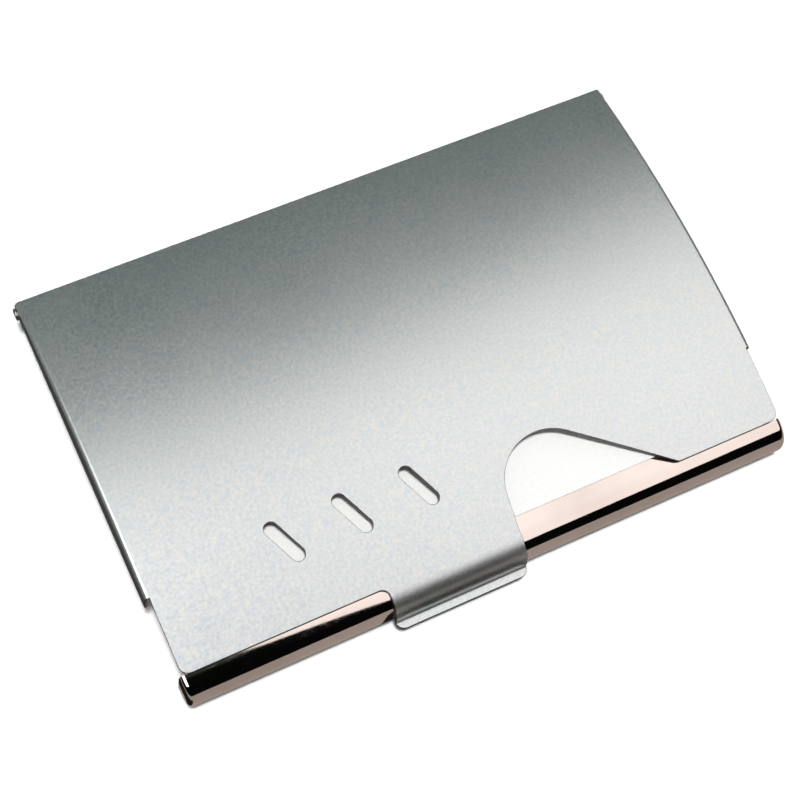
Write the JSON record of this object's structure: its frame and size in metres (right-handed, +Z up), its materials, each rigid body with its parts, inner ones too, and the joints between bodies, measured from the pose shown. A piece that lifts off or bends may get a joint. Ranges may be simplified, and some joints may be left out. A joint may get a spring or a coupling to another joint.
{
  "type": "business card case",
  "caption": "Slim sheet-steel business card case: polished tray with a bull-nosed front, arched satin lid on rear rivets, wrap-over thumb tab, wave window and slanted slots.",
  "frame": {"origin": "middle of the tray's flat underside, on the surface the case lies on", "axes": "+X along the case's width to the user's right, +Y from the thumb tab back to the hinge, +Z up out of the lid"},
  "size_m": [0.0948, 0.0632, 0.0108],
  "materials": {
    "lid_steel": "fine satin",
    "tray_steel": "polished",
    "rivet_steel": "machined",
    "card_stock": "smooth uncoated white card"
  },
  "bodies": {
    "tray": {"tray": "tray_steel", "hinge_rivet_left": "rivet_steel", "hinge_rivet_right": "rivet_steel", "card_01": "card_stock", "card_02": "card_stock", "card_03": "card_stock", "card_04": "card_stock", "card_05": "card_stock", "card_06": "card_stock", "card_07": "card_stock", "card_08": "card_stock", "card_09": "card_stock", "card_10": "card_stock", "card_11": "card_stock", "card_12": "card_stock", "card_13": "card_stock", "card_14": "card_stock", "card_15": "card_stock", "card_16": "card_stock", "card_17": "card_stock", "card_18": "card_stock"},
    "lid": {"lid": "lid_steel"}
  },
  "joints": [
    {"name": "lid_hinge", "type": "hinge", "parent": "tray", "child": "lid", "pos_m": [0, 0.028, 0.0062], "axis": [-1, 0, 0], "range_deg": [0, 100]}
  ]
}
